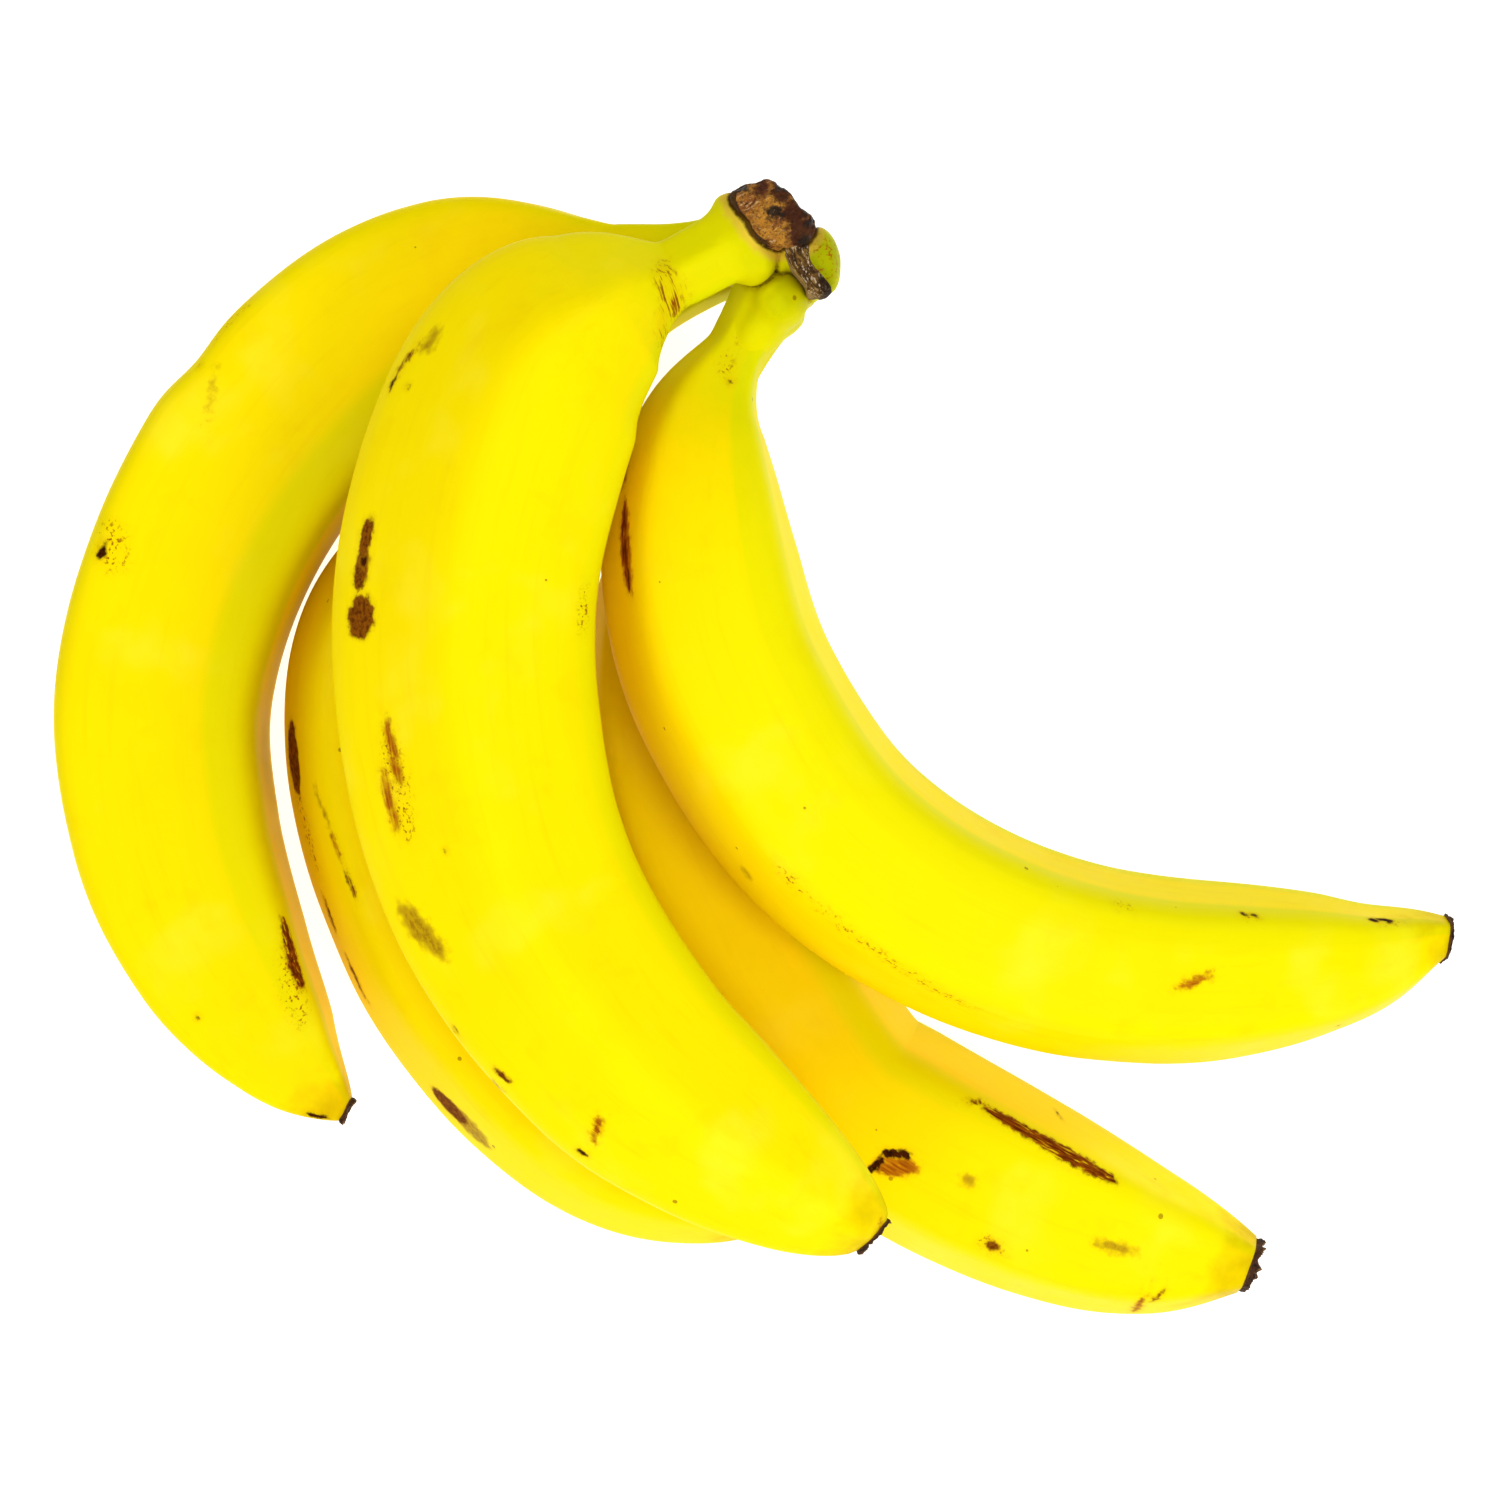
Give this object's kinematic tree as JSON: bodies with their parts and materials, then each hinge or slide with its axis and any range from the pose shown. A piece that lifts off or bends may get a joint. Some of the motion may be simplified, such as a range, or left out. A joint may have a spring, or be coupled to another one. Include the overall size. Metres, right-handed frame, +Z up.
{
  "type": "bunch of bananas",
  "caption": "Bunch of ripe yellow bananas joined at one crown, lying on its side, with curved tapering fingers, dried blossom ends and brown cuts on the crown.",
  "frame": {"origin": "on the surface the bunch lies on, under the middle of its outline seen from above", "axes": "+Z up from the surface; +X from the left finger towards the right finger's tip; +Y towards the crown"},
  "size_m": [0.2258, 0.1807, 0.0742],
  "materials": {
    "ripe_peel": "waxy satin peel, ripe yellow with brown bruises",
    "crown_skin": "yellow-green skin, waxy and slightly rough",
    "dried_cut": "dried brown fibrous plant tissue, matt",
    "dried_blossom": "black-brown shrivelled plant tissue, matt"
  },
  "bodies": {
    "root": {"finger_left": "ripe_peel", "finger_under_left": "ripe_peel", "finger_centre": "ripe_peel", "finger_under_right": "ripe_peel", "finger_right": "ripe_peel", "blossom_left": "dried_blossom", "blossom_under_left": "dried_blossom", "blossom_centre": "dried_blossom", "blossom_under_right": "dried_blossom", "blossom_right": "dried_blossom", "crown": "crown_skin", "crown_scab": "dried_cut", "crown_fibres": "dried_cut", "crown_stalk_cut": "dried_cut"}
  },
  "joints": []
}
